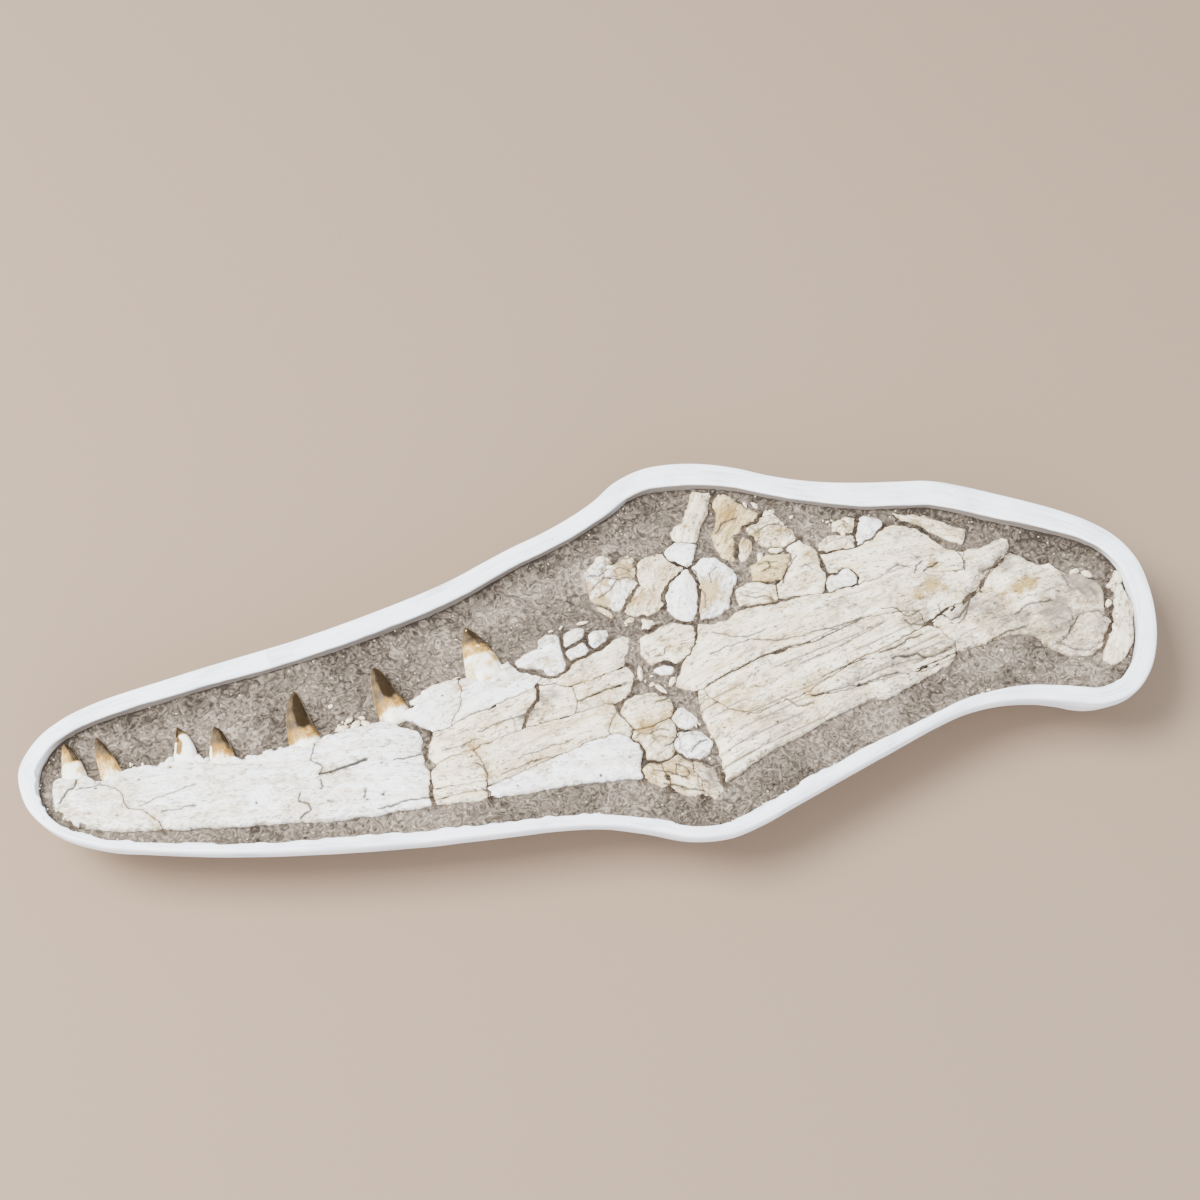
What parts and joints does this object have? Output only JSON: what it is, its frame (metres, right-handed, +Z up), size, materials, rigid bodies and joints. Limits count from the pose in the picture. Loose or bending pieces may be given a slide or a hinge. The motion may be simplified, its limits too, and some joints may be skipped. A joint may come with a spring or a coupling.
{
  "type": "fossil mosasaur jaw",
  "caption": "Life-size fossil lower jaw of a mosasaur with teeth, lying in carved rock in its white plaster field jacket.",
  "frame": {"origin": "centre of the jacket's footprint on the surface that it rests on", "axes": "+X along the jaw from the snout end to the hinge end, +Y away from the viewer, +Z up"},
  "size_m": [1.1499, 0.4787, 0.0872],
  "materials": {
    "plaster": "matt white plaster and burlap, smoothed by hand",
    "matrix": "carved grey-brown marl, granular",
    "bone": "cream fossil bone with hairline cracks and ochre stains",
    "tooth": "dark brown polished enamel fading to tan at the root"
  },
  "bodies": {
    "root": {"coronoid_plate_a": "bone", "coronoid_plate_b": "bone", "coronoid_plate_c": "bone", "coronoid_plate_d": "bone", "coronoid_plate_e": "bone", "coronoid_plate_f": "bone", "coronoid_plate_g": "bone", "coronoid_plate_h": "bone", "coronoid_plate_i": "bone", "coronoid_plate_j": "bone", "crushed_bone": "bone", "dentary_chip_a": "bone", "dentary_chip_b": "bone", "dentary_chip_c": "bone", "dentary_chip_d": "bone", "dentary_front_1": "bone", "dentary_front_2": "bone", "dentary_rear_1": "bone", "dentary_rear_10": "bone", "dentary_rear_11": "bone", "dentary_rear_12": "bone", "dentary_rear_13": "bone", "dentary_rear_2": "bone", "dentary_rear_3": "bone", "dentary_rear_4": "bone", "dentary_rear_5": "bone", "dentary_rear_6": "bone", "dentary_rear_7": "bone", "dentary_rear_8": "bone", "dentary_rear_9": "bone", "end_slab": "bone", "hinge_block_a": "bone", "hinge_block_b": "bone", "hinge_block_c": "bone", "hinge_block_d": "bone", "hinge_rubble_1": "bone", "hinge_rubble_2": "bone", "hinge_rubble_3": "bone", "plaster_jacket": "plaster", "postdentary_1": "bone", "postdentary_2": "bone", "postdentary_3": "bone", "postdentary_4": "bone", "postdentary_5": "bone", "postdentary_6": "bone", "rock_matrix": "matrix", "rod_bone_a": "bone", "rod_bone_b": "bone", "splenial_chip_a": "bone", "splenial_chip_b": "bone", "splenial_plate_a": "bone", "splenial_plate_b": "bone", "splenial_plate_c": "bone", "splenial_plate_d": "bone", "splenial_plate_e": "bone"}
  },
  "joints": []
}
